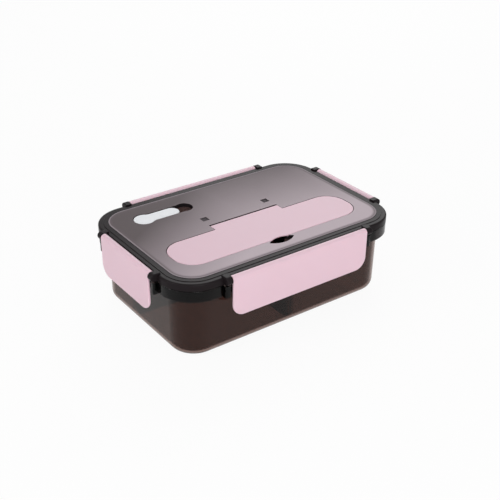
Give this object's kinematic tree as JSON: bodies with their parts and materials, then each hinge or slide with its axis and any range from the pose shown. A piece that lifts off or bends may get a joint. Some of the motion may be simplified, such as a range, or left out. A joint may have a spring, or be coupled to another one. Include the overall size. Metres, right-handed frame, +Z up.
{
  "type": "bento lunch box",
  "caption": "Leak-proof bento lunch box: smoke-tinted tub and lid, pink snap latches on all sides, hinged cutlery cover set in the lid, lift-up vent plug and a removable divider.",
  "frame": {"origin": "middle of the footprint, on the surface that the box stands on", "axes": "+X along the long front side to the right, +Y from the front to the back, +Z up"},
  "size_m": [0.2226, 0.1542, 0.0694],
  "materials": {
    "smoke_plastic": "polished, smoke-tinted and see-through",
    "dark_silicone": "matte moulded silicone",
    "pink_plastic": "satin moulded polypropylene",
    "pale_silicone": "soft matte silicone",
    "cutlery_plastic": "polished, smoke-tinted"
  },
  "bodies": {
    "container": {"container": "smoke_plastic"},
    "divider": {"divider": "smoke_plastic"},
    "lid": {"lid": "smoke_plastic", "lid_seal": "dark_silicone", "fork": "cutlery_plastic", "spoon": "cutlery_plastic"},
    "front_latch": {"front_latch": "pink_plastic"},
    "right_latch": {"right_latch": "pink_plastic"},
    "back_latch": {"back_latch": "pink_plastic"},
    "left_latch": {"left_latch": "pink_plastic"},
    "cutlery_cover": {"cutlery_cover": "pink_plastic"},
    "vent_plug": {"vent_plug": "pale_silicone"}
  },
  "joints": [
    {"name": "divider_lift", "type": "slide", "parent": "container", "child": "divider", "axis": [0, 0, 1], "range_m": [0, 0.07]},
    {"name": "lid_lift", "type": "slide", "parent": "divider", "child": "lid", "axis": [0, 0, 1], "range_m": [0, 0.09]},
    {"name": "front_latch_hinge", "type": "hinge", "parent": "lid", "child": "front_latch", "pos_m": [0, -0.0739, 0.0662], "axis": [-1, 0, 0], "range_deg": [0, 150]},
    {"name": "back_latch_hinge", "type": "hinge", "parent": "lid", "child": "back_latch", "pos_m": [0, 0.0739, 0.0662], "axis": [1, 0, 0], "range_deg": [0, 150]},
    {"name": "left_latch_hinge", "type": "hinge", "parent": "lid", "child": "left_latch", "pos_m": [-0.10815, 0, 0.0662], "axis": [0, 1, 0], "range_deg": [0, 150]},
    {"name": "right_latch_hinge", "type": "hinge", "parent": "lid", "child": "right_latch", "pos_m": [0.10815, 0, 0.0662], "axis": [0, -1, 0], "range_deg": [0, 150]},
    {"name": "cutlery_cover_hinge", "type": "hinge", "parent": "lid", "child": "cutlery_cover", "pos_m": [0, -0.001, 0.0669], "axis": [-1, 0, 0], "range_deg": [0, 95]},
    {"name": "vent_plug_lift", "type": "slide", "parent": "lid", "child": "vent_plug", "axis": [0, 0, 1], "range_m": [0, 0.015]}
  ]
}
